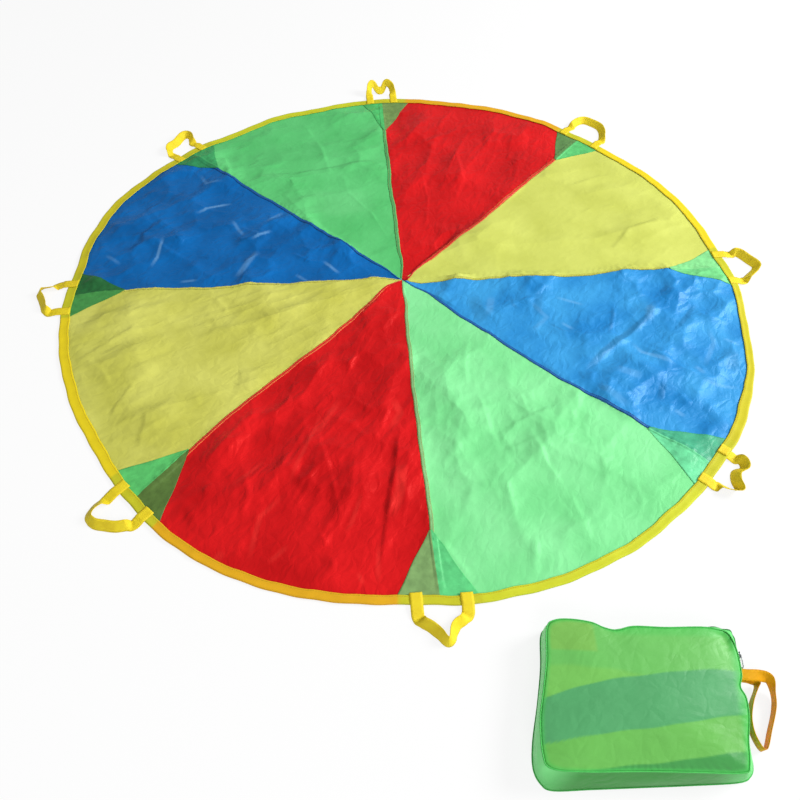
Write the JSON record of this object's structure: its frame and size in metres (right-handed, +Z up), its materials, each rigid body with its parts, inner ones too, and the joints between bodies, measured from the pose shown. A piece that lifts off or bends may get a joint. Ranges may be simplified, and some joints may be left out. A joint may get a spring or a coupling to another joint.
{
  "type": "play parachute",
  "caption": "Round play parachute of coloured cloth gores with a taped rim and sewn webbing grips, lying open beside its zipped carry bag.",
  "frame": {"origin": "middle of the canopy, on its underside, at floor level", "axes": "+Z up, square to the canopy as it lies; +Y from the near side of the picture to the far side; +X to the right"},
  "size_m": [1.9296, 2.1447, 0.0614],
  "materials": {
    "yellow_cloth": "glossy taffeta",
    "red_cloth": "glossy taffeta",
    "green_cloth": "glossy taffeta",
    "blue_cloth": "glossy taffeta",
    "patch_cloth": "sheer taffeta",
    "yellow_tape": "matt woven tape",
    "yellow_webbing": "ribbed webbing",
    "bag_cloth": "sheer taffeta",
    "bag_piping": "rolled seam",
    "folded_cloth": "folded taffeta",
    "zip_plastic": "moulded coil on woven tape",
    "zip_metal": "dark plated",
    "gold_ribbon": "woven ribbon"
  },
  "bodies": {
    "canopy": {"gore_1_yellow": "yellow_cloth", "gore_2_red": "red_cloth", "gore_3_green": "green_cloth", "gore_4_blue": "blue_cloth", "gore_5_yellow": "yellow_cloth", "gore_6_red": "red_cloth", "gore_7_green": "green_cloth", "gore_8_blue": "blue_cloth", "corner_patch_1": "patch_cloth", "corner_patch_2": "patch_cloth", "corner_patch_3": "patch_cloth", "corner_patch_4": "patch_cloth", "corner_patch_5": "patch_cloth", "corner_patch_6": "patch_cloth", "corner_patch_7": "patch_cloth", "corner_patch_8": "patch_cloth", "rim_binding": "yellow_tape", "handle_sewn_end_1a": "yellow_webbing", "handle_sewn_end_1b": "yellow_webbing", "handle_sewn_end_2a": "yellow_webbing", "handle_sewn_end_2b": "yellow_webbing", "handle_sewn_end_3a": "yellow_webbing", "handle_sewn_end_3b": "yellow_webbing", "handle_sewn_end_4a": "yellow_webbing", "handle_sewn_end_4b": "yellow_webbing", "handle_sewn_end_5a": "yellow_webbing", "handle_sewn_end_5b": "yellow_webbing", "handle_sewn_end_6a": "yellow_webbing", "handle_sewn_end_6b": "yellow_webbing", "handle_sewn_end_7a": "yellow_webbing", "handle_sewn_end_7b": "yellow_webbing", "handle_sewn_end_8a": "yellow_webbing", "handle_sewn_end_8b": "yellow_webbing"},
    "handle_1": {"handle_loop_1": "yellow_webbing"},
    "handle_2": {"handle_loop_2": "yellow_webbing"},
    "handle_3": {"handle_loop_3": "yellow_webbing"},
    "handle_4": {"handle_loop_4": "yellow_webbing"},
    "handle_5": {"handle_loop_5": "yellow_webbing"},
    "handle_6": {"handle_loop_6": "yellow_webbing"},
    "handle_7": {"handle_loop_7": "yellow_webbing"},
    "handle_8": {"handle_loop_8": "yellow_webbing"},
    "bag": {"bag_back_panel": "bag_cloth", "bag_gusset": "bag_cloth", "bag_front_panel": "bag_cloth", "bag_back_piping": "bag_piping", "bag_front_piping": "bag_piping", "folded_parachute": "folded_cloth", "zip_tape": "zip_plastic", "zip_coil": "zip_plastic", "wrist_strap_sewn_end": "gold_ribbon"},
    "slider": {"zip_slider": "zip_metal"},
    "pull": {"zip_pull": "zip_metal"},
    "wrist_loop": {"wrist_strap": "gold_ribbon"}
  },
  "joints": [
    {"name": "handle_1_flip", "type": "hinge", "parent": "canopy", "child": "handle_1", "pos_m": [0.89781, 0.06278, 0.005], "axis": [0.0698, -0.9976, 0], "range_deg": [0, 150]},
    {"name": "handle_2_flip", "type": "hinge", "parent": "canopy", "child": "handle_2", "pos_m": [0.58271, 0.68589, 0.005], "axis": [0.7621, -0.6475, 0], "range_deg": [0, 145]},
    {"name": "handle_3_flip", "type": "hinge", "parent": "canopy", "child": "handle_3", "pos_m": [-0.08861, 0.89563, 0.005], "axis": [0.9951, 0.0985, 0], "range_deg": [0, 130]},
    {"name": "handle_4_flip", "type": "hinge", "parent": "canopy", "child": "handle_4", "pos_m": [-0.70239, 0.56272, 0.005], "axis": [0.6252, 0.7804, 0], "range_deg": [0, 145]},
    {"name": "handle_5_flip", "type": "hinge", "parent": "canopy", "child": "handle_5", "pos_m": [-0.89457, -0.09876, 0.005], "axis": [-0.1097, 0.994, 0], "range_deg": [0, 145]},
    {"name": "handle_6_flip", "type": "hinge", "parent": "canopy", "child": "handle_6", "pos_m": [-0.57004, -0.69646, 0.005], "axis": [-0.7738, 0.6334, 0], "range_deg": [0, 140]},
    {"name": "handle_7_flip", "type": "hinge", "parent": "canopy", "child": "handle_7", "pos_m": [0.08157, -0.8963, 0.005], "axis": [-0.9959, -0.0906, 0], "range_deg": [0, 130]},
    {"name": "handle_8_flip", "type": "hinge", "parent": "canopy", "child": "handle_8", "pos_m": [0.69045, -0.5773, 0.005], "axis": [-0.6414, -0.7672, 0], "range_deg": [0, 145]},
    {"name": "bag_lift", "type": "slide", "parent": "canopy", "child": "bag", "axis": [0, 0, 1], "range_m": [0, 0.3]},
    {"name": "zip_slide", "type": "slide", "parent": "bag", "child": "slider", "axis": [0.1006, 0.9949, 0], "range_m": [0, 0.02]},
    {"name": "pull_flip", "type": "hinge", "parent": "slider", "child": "pull", "pos_m": [0.60959, -0.97873, 0.0275], "axis": [0, 0, 1], "range_deg": [0, 165]},
    {"name": "wrist_strap_lift", "type": "hinge", "parent": "bag", "child": "wrist_loop", "pos_m": [0.60193, -1.01173, 0.029], "axis": [-0.1006, -0.9949, 0], "range_deg": [0, 80]}
  ]
}
